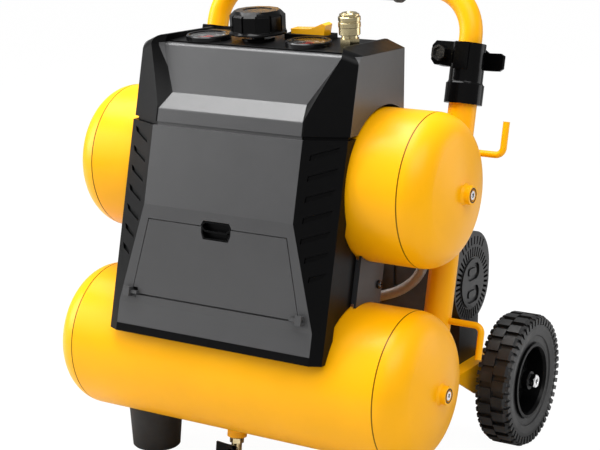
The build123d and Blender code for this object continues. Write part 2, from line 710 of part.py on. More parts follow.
def scoop(grow):
    """Recess between the hoops: sloping ledge, recessed face and flared sides."""
    near_n = LIP_N - 14.2
    near = [(104 + grow, 266 - grow), (149 + grow, 364), (149 + grow, 430)]
    far = [(LEDGE_HALF + grow, LEDGE_S - grow), (DECK_HALF + grow, 360), (DECK_HALF + grow, 430)]
    front = outline_ring(near, lambda s: near_n)
    back = outline_ring(far, lambda s: LEDGE_N + grow + (s - LEDGE_S) * RECESS_SLOPE)
    return lean(Solid.make_loft([front, back], True))


def deck_channel(grow):
    low = -60
    points = [(low, deck_z(low) - grow), (200, deck_z(200) - grow), (200, 440), (low, 440)]
    return prism_x(points, -DECK_HALF - grow, DECK_HALF + grow)


def housing_shell():
    outer = housing_form(0)
    brow = [edge for edge in outer.edges() if is_brow(edge)]
    outer = fillet(brow, BROW_R) - scoop(0) - deck_channel(0)
    outer = fillet(long_front_edges(outer, 365, 380), 6)
    outer = fillet(long_front_edges(outer, 300, 310), 3)
    outer = fillet(long_front_edges(outer, 315, 330), 3)
    behind_brow = prism_x([(-60, 343), (0, 381), (0, 430), (-60, 430)], -200, 200)
    inner = housing_form(SHELL_T) - behind_brow - scoop(SHELL_T) - deck_channel(SHELL_T)
    shell = (outer - inner) & block(-200, 200, -200, 200, HOUSING_LOW_Z, 400)
    return shell - lean(rod((-300, 0, TANK_PITCH), (1, 0, 0), TANK_R + 3.5, 600))


def centre_outline(grow):
    """Grey middle of the housing, as seen square to the lean."""
    half = [(99 + grow, 250), (98.5 + grow, 286), (LEDGE_HALF + grow, LEDGE_S), (DECK_HALF + grow, 360)]
    half = half + [(DECK_HALF + grow, 440)]
    left = [(-x, s) for x, s in reversed(half)]
    return lean(prism_y(half + left, -160, 160))


def hoop_zone(grow):
    """Everything in front of the fold and above the shoulders."""
    front = lean(block(-200, 200, -200, -94.2 + grow, 200, 480))
    return front + block(-200, 200, -200, 200, SHOULDER_Z - 0.1 - grow, 420)


def deck_holes():
    """Openings through the deck for the gauges, the regulator, the coupler and the switch."""
    holes = [deck_plane(spot, -20) * extrude(Circle(24.3), 30) for spot in GAUGES]
    holes.append(deck_plane(KNOB, -20) * extrude(Circle(12.3), 30))
    holes.append(deck_plane(COUPLER, -20) * extrude(Circle(10.3), 30))
    holes.append(deck_plane(ROCKER, -20) * extrude(Rectangle(47, 17), 30))
    return holes


def control_housing(shell):
    body = shell - (hoop_zone(0.15) - centre_outline(0))
    skirt = lean(bay_form(1.6, LIP_N, LIP_X, SHOULDER_X, 260) - bay_form(3.2, LIP_N, LIP_X, SHOULDER_X, 300))
    skirt = skirt & block(-200, 200, -200, -30, 279, HOUSING_LOW_Z + 4)
    skirt = skirt & centre_outline(0)
    for hole in deck_holes():
        body = body - hole
    body = body - rod((GLAND_X, 80, GLAND_Z), (0, 1, 0), 8.0, 30)
    return body + skirt


def hoop_skirt():
    """Inner lip that hangs behind the joint with the front cover."""
    hanging = bay_form(3.6, LIP_N, LIP_X, SHOULDER_X, 260) - bay_form(5.2, LIP_N, LIP_X, SHOULDER_X, 300)
    ledge = bay_form(2.5, LIP_N, LIP_X, SHOULDER_X, 260) - bay_form(5.2, LIP_N, LIP_X, SHOULDER_X, 300)
    hanging = lean(hanging & block(-200, 200, -200, -85, 200, 340))
    ledge = lean(ledge & block(-200, 200, -200, -94.2, 200, 340))
    skirt = hanging & block(-200, 200, -200, 0, 277, HOUSING_LOW_Z + 2)
    skirt = skirt + (ledge & block(-200, 200, -200, 0, HOUSING_LOW_Z + 0.4, HOUSING_LOW_Z + 2))
    return skirt - lean(rod((-300, 0, TANK_PITCH), (1, 0, 0), TANK_R + 3.5, 600))


def hoop(shell, side):
    """Black hoop: chamfered cheek, brow and top rail of the housing, on one side."""
    band = ((shell & hoop_zone(0)) + hoop_skirt()) - centre_outline(0.15)
    half = band & block(0, 200, -200, 200, 200, 450)
    half = half.solids().sort_by(SortBy.VOLUME)[-1]
    return half if side > 0 else mirror_x(half)


def control_panel():
    """Black deck plate, with the raised housing of the rocker switch."""
    front, back, thick = 2, 89, 2
    side = [(front, deck_z(front)), (back, deck_z(back))]
    side = side + [(y, z + thick) for y, z in reversed(side)]
    plate = prism_x(side, 1.5 - DECK_HALF, DECK_HALF - 1.5)
    plate = plate + deck_plane(ROCKER, 0) * extrude(Rectangle(58, 26), 8)
    for hole in deck_holes():
        plate = plate - hole
    plate = plate - deck_plane(ROCKER, -2) * extrude(Rectangle(54, 17), 20)
    return plate - rocker_plane() * (Rot(90, 0, 0) * Cylinder(2.0 + RUN, 2 * ROCKER_ACROSS + 4))


def rocker_plane():
    return deck_plane(ROCKER, ROCKER_H)


def switch_rocker():
    """Yellow rocker with a raised end, on stub pins across the deck."""
    across = ROCKER_ACROSS
    profile = [(-22, 1), (-15, -9), (15, -9), (22, 1), (25, 15.5), (20.5, 17.5), (4, 10.5), (-23, 9.5)]
    face = make_face(Polyline(*profile, close=True))
    body = Plane.XZ * extrude(face, across, both=True)
    body = body + Rot(90, 0, 0) * Cylinder(2.0, 2 * across + 3.6)
    return rocker_plane() * body


def gauge(spot):
    """Pressure gauge case with its bezel, dial face, pivot pin and stem."""
    section = [(0, -17), (24, -17), (24, 2), (GAUGE_R, 2), (GAUGE_R, 6.8), (25.8, 8), (23.6, 8), (23.6, 3)]
    section = section + [(0.8, 3), (0.8, 5.2), (0, 5.2)]
    case = turned(section, (0, 0, 0), (0, 0, 1))
    stem = Pos(0, 0, -26) * extrude(Circle(5), 10)
    return deck_plane(spot, 0) * (case + stem)


def gauge_lens(spot):
    return deck_plane(spot, 6.0) * extrude(Circle(23.55), 1.2)


def gauge_needle(spot):
    """Pointer at the zero mark, lower left of the dial."""
    arrow = [(0, -6), (1.4, -6), (1.4, 2), (0.4, 18), (0, 18.5), (-0.4, 18), (-1.4, 2), (-1.4, -6)]
    pointer = extrude(make_face(Polyline(*arrow, close=True)), 0.8) + extrude(Circle(2.6), 1.6)
    pointer = pointer - Pos(0, 0, -1) * extrude(Circle(0.8 + RUN), 4)
    return deck_plane(spot, 3.3) * (Rot(0, 0, 135) * pointer)


def regulator():
    """Pressure regulator under the deck, its collar and spindle above it."""
    section = [(0, -29), (16, -29), (16, -4), (12, -4), (12, 2), (20, 2), (20, 3.4), (18.5, 4), (7.7, 4)]
    section = section + [(7.7, 9), (4, 9), (4, 24), (0, 24)]
    return deck_plane(KNOB, 0) * turned(section, (0, 0, 0), (0, 0, 1))


def regulator_knob():
    """Large knob with flat lobes, chamfered at the top, and a flared skirt."""
    section = [(0, 9.3), (34.4, 9.3), (34.4, 11), (31.8, 14), (0, 14)]
    knob = turned(section, (0, 0, 0), (0, 0, 1))
    outline = RegularPolygon(KNOB_R, KNOB_LOBES)
    knob = knob + Pos(0, 0, 13) * extrude(outline, 18) + Pos(0, 0, 31) * extrude(outline, 6, taper=45)
    for k in range(KNOB_LOBES):
        groove = Rot(0, 0, 360 / KNOB_LOBES * k) * (Pos(KNOB_R, 0, 26) * Box(4.6, 2.6, 24))
        knob = knob - groove
    knob = knob - Pos(0, 0, 36.2) * extrude(Circle(17), 2)
    return deck_plane(KNOB, 0) * (knob - Pos(0, 0, 9) * extrude(Circle(4 + RUN), 18))


def coupler_body():
    """Brass quick coupler: threaded tail, hexagon, neck and open socket."""
    tail = [(5.0, -24), (10, -24), (10, 2), (5.0, 2)]
    neck = [(5.0, 2), (9.5, 2), (9.5, 39.5), (8.5, 41), (6.2, 41), (5.0, 39)]
    body = turned(tail, (0, 0, 0), (0, 0, 1)) + turned(neck, (0, 0, 0), (0, 0, 1))
    nut = Pos(0, 0, 2) * extrude(RegularPolygon(10.8, 6, major_radius=False), 9.5)
    ring = Pos(0, 0, 37.7) * extrude(Circle(11.4), 1.6)
    body = body + nut + ring - Pos(0, 0, 1) * extrude(Circle(5.0), 38)
    body = body - Pos(0, 0, 30) * extrude(Circle(5.0), 12)
    return deck_plane(COUPLER, 0) * body


def coupler_sleeve():
    """Knurled release sleeve that slides on the coupler's neck."""
    section = [(9.6, 15.5), (11.8, 15.5), (12.4, 16.2), (12.4, 24), (13, 24.6), (13, 29.5), (12.3, 30.1)]
    section = section + [(12.3, 31.4), (13, 32), (13, 36), (12.4, 36.7), (9.6, 36.7)]
    sleeve = turned(section, (0, 0, 0), (0, 0, 1))
    for k in range(24):
        sleeve = sleeve - Rot(0, 0, 15 * k) * (Pos(13.1, 0, 27) * Box(0.9, 1.2, 3.6))
    return deck_plane(COUPLER, 0) * sleeve


def manifold():
    """Air manifold under the deck, fed from the top of the upper tank."""
    bar = block(-92, 118, 20, 57, 334, 346)
    riser = rod((RISER_X, RISER_Y, 300), (0, 0, 1), 5.9, 36)
    bar = bar + hexagon((RISER_X, RISER_Y, 319), (0, 0, 1), 17, 16) + riser
    for x, y in (KNOB, COUPLER) + GAUGES:
        low = {KNOB: 30.0, COUPLER: 25.0}.get((x, y), 27.0)
        top = deck_z(y) - low
        bar = bar + block(x - 11, x + 11, max(y - 11, 20), min(y + 11, 57), 345, top)
    return bar


def pressure_switch():
    box = block(-112, -62, 60, 86, 318, 354)
    return box + block(-108, -66, 86, HOUSING_BACK_Y - SHELL_T, 322, 350)


def cord_gland():
    """Inlet for the power cord in the back of the housing."""
    y = HOUSING_BACK_Y
    gland = rod((GLAND_X, y - 2.9, GLAND_Z), (0, 1, 0), 7.9, 3)
    section = [(0, 0), (12, 0), (12, 3), (10.5, 4), (10.5, 12), (8, 17), (0, 17)]
    gland = gland + turned(section, (GLAND_X, y, GLAND_Z), (0, 1, 0))
    return gland - rod((GLAND_X, y - 5, GLAND_Z), (0, 1, 0), 4.0, 40)


# ---- safety valve, on the back of the upper tank ----
def safety_plane(distance):
    a = math.radians(SAFETY_ANGLE)
    way = (0, math.cos(a), math.sin(a))
    origin = (SAFETY_X, way[1] * distance, way[2] * distance + TANK_PITCH)
    return Plane(origin=origin, x_dir=(1, 0, 0), z_dir=way)


def safety_valve():
    body = extrude(Circle(5.9), 10) + Pos(0, 0, 8) * extrude(RegularPolygon(8.5, 6, major_radius=False), 8)
    body = body + Pos(0, 0, 16) * extrude(Circle(7.5), 14) - Pos(0, 0, 18) * extrude(Circle(2.2 + RUN), 13)
    for k in range(4):
        body = body - Rot(0, 0, 90 * k) * (Pos(6, 0, 21) * (Rot(0, 90, 0) * Cylinder(1.6, 9)))
    return lean(safety_plane(88) * body)


def safety_ring():
    """Pull ring on the valve's stem."""
    stem = Pos(0, 0, 19) * extrude(Circle(2.2), 17)
    ring = Pos(0, 0, 45) * (Rot(90, 0, 0) * Torus(10, 1.3))
    return lean(safety_plane(88) * (stem + ring))


# ---- pump and motor ----
def pump_rod(x, radius, length):
    return rod((x, PUMP_Y, PUMP_Z), (1, 0, 0), radius, length)


def pump_block(x0, x1, y0, y1, z0, z1):
    """Block with Y and Z counted from the crankshaft's axis."""
    return block(x0, x1, PUMP_Y + y0, PUMP_Y + y1, PUMP_Z + z0, PUMP_Z + z1)


def about_pump(shape, angle):
    """Turn a shape about the crankshaft's axis; 0 degrees is the back, 90 the top."""
    return Pos(0, PUMP_Y, PUMP_Z) * (Rot(angle, 0, 0) * (Pos(0, -PUMP_Y, -PUMP_Z) * shape))


def stadium(radius, x, depth):
    """Upright oval section of the fan cover, extruded along X."""
    low = pump_rod(x, radius, depth)
    high = Pos(0, 0, 16.3) * low
    return low + high + pump_block(x, x + depth, -radius, radius, 0, 16.3)


def fan_cover():
    """Louvred cover over the cooling fan."""
    cover = stadium(49.5, 152, 31) - stadium(47, 151, 29.5)
    count = 40
    slots = [(360 / count * k, 33.5, 46.0) for k in range(count)]
    slots = slots + [(360 / count * (k + 0.5), 49.0, 59.5) for k in range(6, 14)]
    for angle, inner, outer in slots:
        slot = pump_block(176, 190, inner, outer, -1.5, 1.5)
        cover = cover - about_pump(slot, angle)
    cover = cover + pump_rod(183, 31.5, 1.6)
    for side in (1, -1):
        pocket = pump_block(182.2, 190, -17, 17, side * 14.5 - 10.5, side * 14.5 + 10.5)
        pocket = fillet(pocket.edges().filter_by(Axis.X), 9)
        island = pump_block(182, 184, -10.5, 10.5, side * 14.5 - 4.5, side * 14.5 + 4.5)
        cover = cover - pocket + fillet(island.edges().filter_by(Axis.X), 4)
    foot_block = pump_block(154, 181.5, -30, 24, -PUMP_Z + PLATE_Z, -40)
    return cover + (foot_block - stadium(47, 140, 60))


def cooling_fan():
    hub = pump_rod(157, 14, 14) - pump_rod(150, 7, 30)
    for k in range(9):
        blade = pump_block(159, 169, 12, 43, -1.2, 1.2)
        hub = hub + about_pump(blade, 40 * k)
    disc = pump_rod(157, 43, 2) - pump_rod(150, 7, 30)
    return hub + disc


def crankshaft():
    """Motor rotor and shaft with the crank for the piston."""
    shaft = pump_rod(-92, 8, CYLINDER_X - 8 + 92) + pump_rod(CYLINDER_X + 8, 7, 172 - CYLINDER_X - 8)
    rotor = pump_rod(-66, 30, 100)
    webs = pump_rod(CYLINDER_X - 14, 19, 6) + pump_rod(CYLINDER_X + 8, 19, 6)
    pin = Pos(0, THROW, 0) * pump_rod(CYLINDER_X - 9, 6, 18)
    shaft = shaft - pump_rod(CYLINDER_X - 8, 20, 16)
    return shaft + rotor + webs + pin


def connecting_rod():
    """Rod on the crank pin; its small end stands inside the piston."""
    x = CYLINDER_X
    y = PUMP_Y + THROW
    body = rod((x - 6, y, PUMP_Z), (1, 0, 0), 11, 12)
    body = body + block(x - 3.5, x + 3.5, y - 5, y + 5, PUMP_Z + 8, PUMP_Z + ROD_LENGTH)
    body = body + rod((x - 6, y, PUMP_Z + ROD_LENGTH), (1, 0, 0), 6, 12)
    return body - rod((x - 7, y, PUMP_Z), (1, 0, 0), 6 + RUN, 14)


def piston():
    """Hollow piston at the middle of its stroke."""
    low = PUMP_Z + 48
    cup = rod((CYLINDER_X, PUMP_Y, low), (0, 0, 1), BORE_R - RUN, 40)
    return cup - rod((CYLINDER_X, PUMP_Y, low - 1), (0, 0, 1), 21, 35)


def crankcase():
    x0, x1 = CYLINDER_X - 34, CYLINDER_X + 36
    case = pump_block(x0, x1, -38, 38, -38, 40)
    case = case + pump_block(x0 + 6, x1 - 6, -34, 34, -PUMP_Z + PLATE_Z, -36)
    case = case - pump_rod(x0 + 6, 31, x1 - x0 - 12) - pump_rod(x0 - 10, 8.3, x1 - x0 + 20)
    case = case - rod((CYLINDER_X, PUMP_Y, PUMP_Z), (0, 0, 1), 25, 60)
    case = case - pump_block(92, 96, -39, -35, -8, 24)
    return case - block(x0 + 12, x1 - 12, 150, 300, PLATE_Z, PLATE_Z + 34)


def cylinder():
    low = PUMP_Z + 40
    body = rod((CYLINDER_X, PUMP_Y, low), (0, 0, 1), 29, 62)
    body = body + rod((CYLINDER_X, PUMP_Y, low), (0, 0, 1), 33.5, 5)
    for k in range(6):
        body = body + block(
            CYLINDER_X - 36, CYLINDER_X + 36, PUMP_Y - 36, PUMP_Y + 36, low + 12 + 8 * k, low + 14.5 + 8 * k
        )
    return body - rod((CYLINDER_X, PUMP_Y, low - 1), (0, 0, 1), BORE_R, 70)


def cylinder_head():
    low = PUMP_Z + 102
    head = block(CYLINDER_X - 37, CYLINDER_X + 37, PUMP_Y - 37, PUMP_Y + 37, low, low + 12)
    for k in range(7):
        x = CYLINDER_X - 34 + 68 / 6 * k
        head = head + block(x - 1.5, x + 1.5, PUMP_Y - 35, PUMP_Y + 35, low + 11, low + 28)
    boss = block(CYLINDER_X + 16, CYLINDER_X + 36, PUMP_Y - 39, PUMP_Y - 20, low, low + 24)
    for x in (-30, 30):
        for y in (-30, 30):
            head = head + hexagon((CYLINDER_X + x, PUMP_Y + y, low + 10), (0, 0, 1), 10, 9)
    return head + boss


def motor_housing():
    """Finned motor barrel on its own pedestal."""
    x0, x1 = -108, CYLINDER_X - 34
    barrel = pump_rod(x0, 50, x1 - x0)
    for k in range(28):
        fin = pump_block(x0 + 10, x1 - 8, 48, 54.5, -1.3, 1.3)
        barrel = barrel + about_pump(fin, 360 / 28 * k)
    barrel = barrel + pump_block(x0 + 30, x0 + 60, -40, 40, -PUMP_Z + PLATE_Z, -30)
    barrel = barrel + pump_block(x1 - 60, x1 - 30, -40, 40, -PUMP_Z + PLATE_Z, -30)
    barrel = barrel - pump_rod(x0 + 4, 45, x1 - x0 - 12)
    barrel = barrel - pump_rod(x0 + 2, 8.3, 300)
    for k in range(12):
        vent = pump_block(x0 - 2, x0 + 6, 22, 40, -2, 2)
        barrel = barrel - about_pump(vent, 30 * k)
    return barrel


def braided_hose():
    """Steel-braided delivery hose from the cylinder head to the lower tank."""
    a = math.radians(HOSE_ANGLE)
    way = Vector(0, math.cos(a), math.sin(a))
    port = Vector(HOSE_X, 0, 0)
    start = port + way * 112
    outlet = Vector(CYLINDER_X + 26, PUMP_Y - 39, PUMP_Z + 114)
    points = [start, start + way * 16, (92, 137, 58), (122, 143, 68), (146, 149, 90), (152, 153, 122)]
    points = points + [(150, 155, 152), (142, 152, 176)]
    points = points + [outlet + Vector(0, -14, -2), outlet + Vector(0, -6, 0)]
    vectors = [Vector(*point) for point in points]
    radii = []
    for before, here, after in zip(vectors, vectors[1:], vectors[2:]):
        turn = math.radians((here - before).get_angle(after - here))
        shorter = min((here - before).length, (after - here).length)
        radii.append(0.45 * shorter / math.tan(turn / 2))
    hose = swept_rod(FilletPolyline(*vectors, radius=radii), HOSE_R)
    tank_end = rod(port + way * 93, way, 5.95, 8)
    tank_end = tank_end + hexagon(port + way * 97, way, 19, 9) + rod(port + way * 106, way, 7.5, 6.5)
    head_end = rod(outlet + Vector(0, -7, 0), (0, 1, 0), 7.5, 7)
    head_end = head_end + hexagon(outlet + Vector(0, -4, 0), (0, 1, 0), 16, 4)
    return hose + tank_end + head_end


# ---- build every piece ----
os.makedirs("parts", exist_ok=True)
LEAN_TOP = 90 - LEAN     # direction of the lean, from the back towards the top
lower_ports = [
    (LINK_X, LEAN_TOP, 9.0, 6.0), (DRAIN_X, DRAIN_ANGLE, 12.0, 10.0), (HOSE_X, HOSE_ANGLE, 11.0, 6.0),
]
upper_ports = [
    (LINK_X, -90.0, 9.0, 6.0), (RISER_X, 90.0 + LEAN, 9.0, 6.0), (SAFETY_X, SAFETY_ANGLE, 10.0, 5.0),
]
save("lower_tank", tank(lower_ports))
save("upper_tank", lean(Pos(0, 0, TANK_PITCH) * tank(upper_ports)))
save("tank_plugs", *tank_plugs())
save("tank_link", tank_link())

for side, name in ((1, "right"), (-1, "left")):
    save("post_" + name, post(side))
    save("clamp_" + name, clamp(side))
    save("lock_lever_" + name, clamp_lever(side))
    save("vent_panel_" + name, vent_panel(side))
    save("side_plate_" + name, side_plate(side))
hooks = [cord_hook(276.8, 1), cord_hook(72.8, -1)]
save("cord_hooks", *hooks, *[mirror_x(hook) for hook in hooks])
save("clamp_bolts", clamp_bolt(1), clamp_bolt(-1))
save("base_plate", base_plate())
save("axle", axle())
save("axle_nuts", axle_nut(1), axle_nut(-1))
save("rubber_feet", foot(150), foot(-150))
save("drain_valve", drain_valve())
save("drain_lever", drain_lever())
save("handle_tube", handle_tube())
save("handle_grip", handle_grip())

right_tyre = tyre()
right_rim = rim()
save("tyre_right", right_tyre)
save("tyre_left", mirror_x(right_tyre))
save("rim_right", right_rim)
save("rim_left", mirror_x(right_rim))

save("front_cover", front_cover())
save("service_door", service_door())
save("door_latch", door_latch())
save("cover_screws", cover_screw(1), cover_screw(-1))
housing = housing_shell()
save("control_housing", control_housing(housing))
save("hoop_right", hoop(housing, 1))
save("hoop_left", hoop(housing, -1))
save("control_panel", control_panel())
save("switch_rocker", switch_rocker())
save("gauges", *[gauge(spot) for spot in GAUGES])
save("gauge_lenses", *[gauge_lens(spot) for spot in GAUGES])
save("tank_gauge_needle", gauge_needle(GAUGES[0]))
save("outlet_gauge_needle", gauge_needle(GAUGES[1]))
save("regulator", regulator())
save("regulator_knob", regulator_knob())
save("coupler_body", coupler_body())
save("coupler_sleeve", coupler_sleeve())
save("manifold", manifold())
save("pressure_switch", pressure_switch())
save("cord_gland", cord_gland())
save("safety_valve", safety_valve())
save("safety_ring", safety_ring())

save("fan_cover", fan_cover())
save("cooling_fan", cooling_fan())
save("crankshaft", crankshaft())
save("connecting_rod", connecting_rod())
save("piston", piston())
save("crankcase", crankcase())
save("cylinder", cylinder())
save("cylinder_head", cylinder_head())
save("motor_housing", motor_housing())
save("braided_hose", braided_hose())
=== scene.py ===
import json
import math

import bpy
from mathutils import Matrix, Vector


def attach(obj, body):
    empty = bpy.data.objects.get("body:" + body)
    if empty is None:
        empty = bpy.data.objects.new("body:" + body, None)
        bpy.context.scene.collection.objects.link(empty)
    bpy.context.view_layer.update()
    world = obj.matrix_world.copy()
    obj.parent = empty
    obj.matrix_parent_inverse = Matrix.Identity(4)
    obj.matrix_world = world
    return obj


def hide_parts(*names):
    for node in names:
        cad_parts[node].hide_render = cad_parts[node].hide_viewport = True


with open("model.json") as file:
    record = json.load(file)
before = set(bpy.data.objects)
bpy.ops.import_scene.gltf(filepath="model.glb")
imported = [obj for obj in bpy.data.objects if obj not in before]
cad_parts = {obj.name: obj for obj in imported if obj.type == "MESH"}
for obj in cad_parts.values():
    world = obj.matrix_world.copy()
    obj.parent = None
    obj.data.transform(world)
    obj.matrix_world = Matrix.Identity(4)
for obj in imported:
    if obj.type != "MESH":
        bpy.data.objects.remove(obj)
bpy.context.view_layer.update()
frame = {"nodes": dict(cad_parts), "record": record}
NODES = frame["nodes"]

LEAN = math.radians(12.7)          # backward lean of the tank stack
ORIGIN_Y = 0.11677                 # lower tank's axis, in front of the footprint's middle
GROUND = 0.1384                    # lower tank's axis above the floor
TANK_PITCH = 0.2269                # lower tank's axis to the upper one's, up the lean
TANK_SEAM_X = 0.210                # where each tank's shell meets its domed heads
PLUG_X = 0.260                     # outer face of the bung in each head
DECK_Z = 0.375                     # control deck at Y = 0, above the lower tank's axis
DECK_RISE = 0.0637                 # rise of the deck per metre towards the back
DECK_WAY = Vector((0, -DECK_RISE, 1)).normalized()


# ---- places ----
def row(x, y, z):
    """Upright working frame of the lower tank's axis, in metres, to the row frame."""
    return Vector((x, y - ORIGIN_Y, z + GROUND))


def leaned(x, n, s):
    """Point of the leaning frame: N square to the lean, S up it."""
    y = n * math.cos(LEAN) + s * math.sin(LEAN)
    return row(x, y, s * math.cos(LEAN) - n * math.sin(LEAN))


def deck(x, y, height):
    """Point at a height above the sloping control deck."""
    return row(x, y, DECK_Z + DECK_RISE * y) + DECK_WAY * height


def frame_of(origin, z_way, x_way=(1, 0, 0)):
    """Matrix whose Z looks along z_way at origin."""
    z = Vector(z_way).normalized()
    x = Vector(x_way)
    x = (x - z * x.dot(z)).normalized()
    y = z.cross(x)
    turn = Matrix((x, y, z)).transposed().to_4x4()
    return Matrix.Translation(Vector(origin)) @ turn


# ---- materials ----
class Shader:
    """Small builder for one procedural material."""

    def __init__(self, name):
        self.material = bpy.data.materials.new(name)
        self.material.use_nodes = True
        self.tree = self.material.node_tree
        self.tree.nodes.clear()
        self.out = self.tree.nodes.new("ShaderNodeOutputMaterial")
        self.surface = self.tree.nodes.new("ShaderNodeBsdfPrincipled")
        self.tree.links.new(self.surface.outputs[0], self.out.inputs[0])
        self.spot = self.tree.nodes.new("ShaderNodeTexCoord").outputs["Object"]

    def add(self, kind, inputs=None, **settings):
        """Node with each input, by name or index, linked or set."""
        node = self.tree.nodes.new(kind)
        for key, value in settings.items():
            setattr(node, key, value)
        for key, value in (inputs or {}).items():
            if isinstance(value, bpy.types.NodeSocket):
                self.tree.links.new(value, node.inputs[key])
            else:
                node.inputs[key].default_value = value
        return node

    def set(self, **values):
        for key, value in values.items():
            self.surface.inputs[key.replace("_", " ")].default_value = value

    def join(self, output, key):
        self.tree.links.new(output, self.surface.inputs[key])

    def noise(self, scale, detail=4.0, rough=0.55, stretch=None):
        """Noise with so many features per metre."""
        spot = self.spot
        if stretch:
            spot = self.add("ShaderNodeMapping", {"Vector": spot, "Scale": stretch}).outputs[0]
        inputs = {"Vector": spot, "Scale": scale, "Detail": detail, "Roughness": rough}
        return self.add("ShaderNodeTexNoise", inputs).outputs["Fac"]

    def cells(self, scale):
        """Distance from the middle of small round cells, so many per metre."""
        inputs = {"Vector": self.spot, "Scale": scale}
        return self.add("ShaderNodeTexVoronoi", inputs).outputs["Distance"]

    def span(self, value, low, high, from_low=0.3, from_high=0.7):
        """Value stretched from one range to another, clamped at the ends."""
        inputs = {
            "Value": value, "From Min": from_low, "From Max": from_high,
            "To Min": low, "To Max": high,
        }
        return self.add("ShaderNodeMapRange", inputs).outputs[0]

    def math(self, kind, a, b=0.0):
        return self.add("ShaderNodeMath", {0: a, 1: b}, operation=kind).outputs[0]

    def blend(self, factor, a, b):
        """Colour from a to b by factor."""
        inputs = {0: factor, 6: a, 7: b}
        return self.add("ShaderNodeMix", inputs, data_type="RGBA").outputs[2]

    def colour(self, base, scale, amount):
        """Slow change of tone about a base colour."""
        dark = tuple(c * (1 - amount) for c in base) + (1,)
        light = tuple(min(1.0, c * (1 + amount)) for c in base) + (1,)
        tone = self.span(self.noise(scale, 3.0), 0.0, 1.0)
        mixed = self.blend(tone, dark, light)
        self.join(mixed, "Base Color")
        return mixed

    def bump(self, *layers):
        """Bump from (height socket, strength, depth in metres) layers."""
        normal = None
        for height, strength, depth in layers:
            inputs = {"Height": height, "Strength": strength, "Distance": depth}
            if normal is not None:
                inputs["Normal"] = normal
            normal = self.add("ShaderNodeBump", inputs).outputs[0]
        self.join(normal, "Normal")


SEAM_SHADE_HALF_WIDTHS = (0.0004, 0.0011)       # half widths of the painted seam shade, full and faded out
SEAM_SHADE = 0.16                  # its tone, as a share of the paint's


def painted(name, base, rough=0.3, coat=0.5, metal=0.0, shine=0.5, seam=0.0):
    """Powder-coated steel: faint orange peel, uneven gloss, and painted shade in the seam grooves
    at X = +-seam.
    """
    s = Shader(name)
    tone = s.colour(base, 9.0, 0.045)
    if seam:
        across = s.math("ABSOLUTE", s.add("ShaderNodeSeparateXYZ", {0: s.spot}).outputs[0])
        away = s.math("ABSOLUTE", s.math("SUBTRACT", across, seam))
        # painted shade: the paint darkens along the seam grooves, standing in for the shade that
        # falls in them
        seam_shading = s.span(away, 1.0, 0.0, *SEAM_SHADE_HALF_WIDTHS)
        shade = tuple(c * SEAM_SHADE for c in base) + (1,)
        s.join(s.blend(seam_shading, tone, shade), "Base Color")
    s.join(s.span(s.noise(26.0, 5.0), rough - 0.05, rough + 0.07), "Roughness")
    s.set(Coat_Weight=coat, Coat_Roughness=0.12, Metallic=metal, Specular_IOR_Level=shine)
    s.bump((s.noise(650.0, 2.0), 0.25, 0.00012), (s.noise(14.0, 3.0), 0.12, 0.0006))
    return s.material


def moulded(name, base, rough=0.42, grain=1500.0, depth=0.00012, coat=0.0, strength=0.45,
            shine=0.5):
    """Moulded plastic with a spark-eroded grain and slight flow marks."""
    s = Shader(name)
    s.colour(base, 22.0, 0.035)
    spots = s.cells(grain)
    s.join(s.span(s.noise(140.0, 4.0), rough - 0.02, rough + 0.03), "Roughness")
    s.set(Coat_Weight=coat, Coat_Roughness=0.1, Specular_IOR_Level=shine)
    s.bump((spots, strength, depth), (s.noise(35.0, 3.0), 0.02, 0.0001))
    return s.material


def machined(name, base, rough=0.25, metal=1.0):
    """Turned or ground metal with fine tool lines."""
    s = Shader(name)
    s.colour(base, 160.0, 0.08)
    marks = s.noise(1.0, 3.0, 0.6, stretch=(60.0, 60.0, 2200.0))
    s.join(s.span(marks, rough - 0.07, rough + 0.1), "Roughness")
    s.set(Metallic=metal)
    s.bump((marks, 0.25, 0.00015))
    return s.material


def cast_metal(name, base, rough=0.5, metal=1.0):
    """Sand or die cast skin: shallow pits over a rough ground."""
    s = Shader(name)
    s.colour(base, 70.0, 0.16)
    pits = s.cells(620.0)
    s.join(s.span(s.noise(90.0, 4.0), rough - 0.1, rough + 0.12), "Roughness")
    s.set(Metallic=metal)
    s.bump((pits, 0.35, 0.00025), (s.noise(240.0, 5.0), 0.3, 0.0004))
    return s.material


def rubber(name, base, rough=0.62, dust=0.5):
    """Moulded rubber with a dusty bloom in its slow patches."""
    s = Shader(name)
    bloom = s.span(s.noise(38.0, 6.0, 0.65), 0.0, 1.0, 0.45, 0.8)
    pale = tuple(c + 0.035 * dust for c in base) + (1,)
    s.join(s.blend(bloom, base + (1,), pale), "Base Color")
    s.join(s.span(bloom, rough, rough + 0.15, 0.0, 1.0), "Roughness")
    s.bump((s.noise(900.0, 4.0), 0.3, 0.0002), (s.noise(120.0, 4.0), 0.15, 0.0004))
    return s.material


def foam(name, base):
    """Foam sleeve: open cells over a soft black ground."""
    s = Shader(name)
    s.colour(base, 60.0, 0.2)
    pores = s.cells(1100.0)
    s.set(Roughness=0.75, Sheen_Weight=0.25)
    s.bump((pores, 0.7, 0.0003), (s.noise(260.0, 4.0), 0.3, 0.0004))
    return s.material


def clear(name):
    """Thin clear window, slightly smeared."""
    s = Shader(name)
    s.set(Base_Color=(0.97, 0.98, 0.98, 1), IOR=1.1, Transmission_Weight=1.0)
    s.join(s.span(s.noise(45.0, 4.0), 0.01, 0.06), "Roughness")
    return s.material


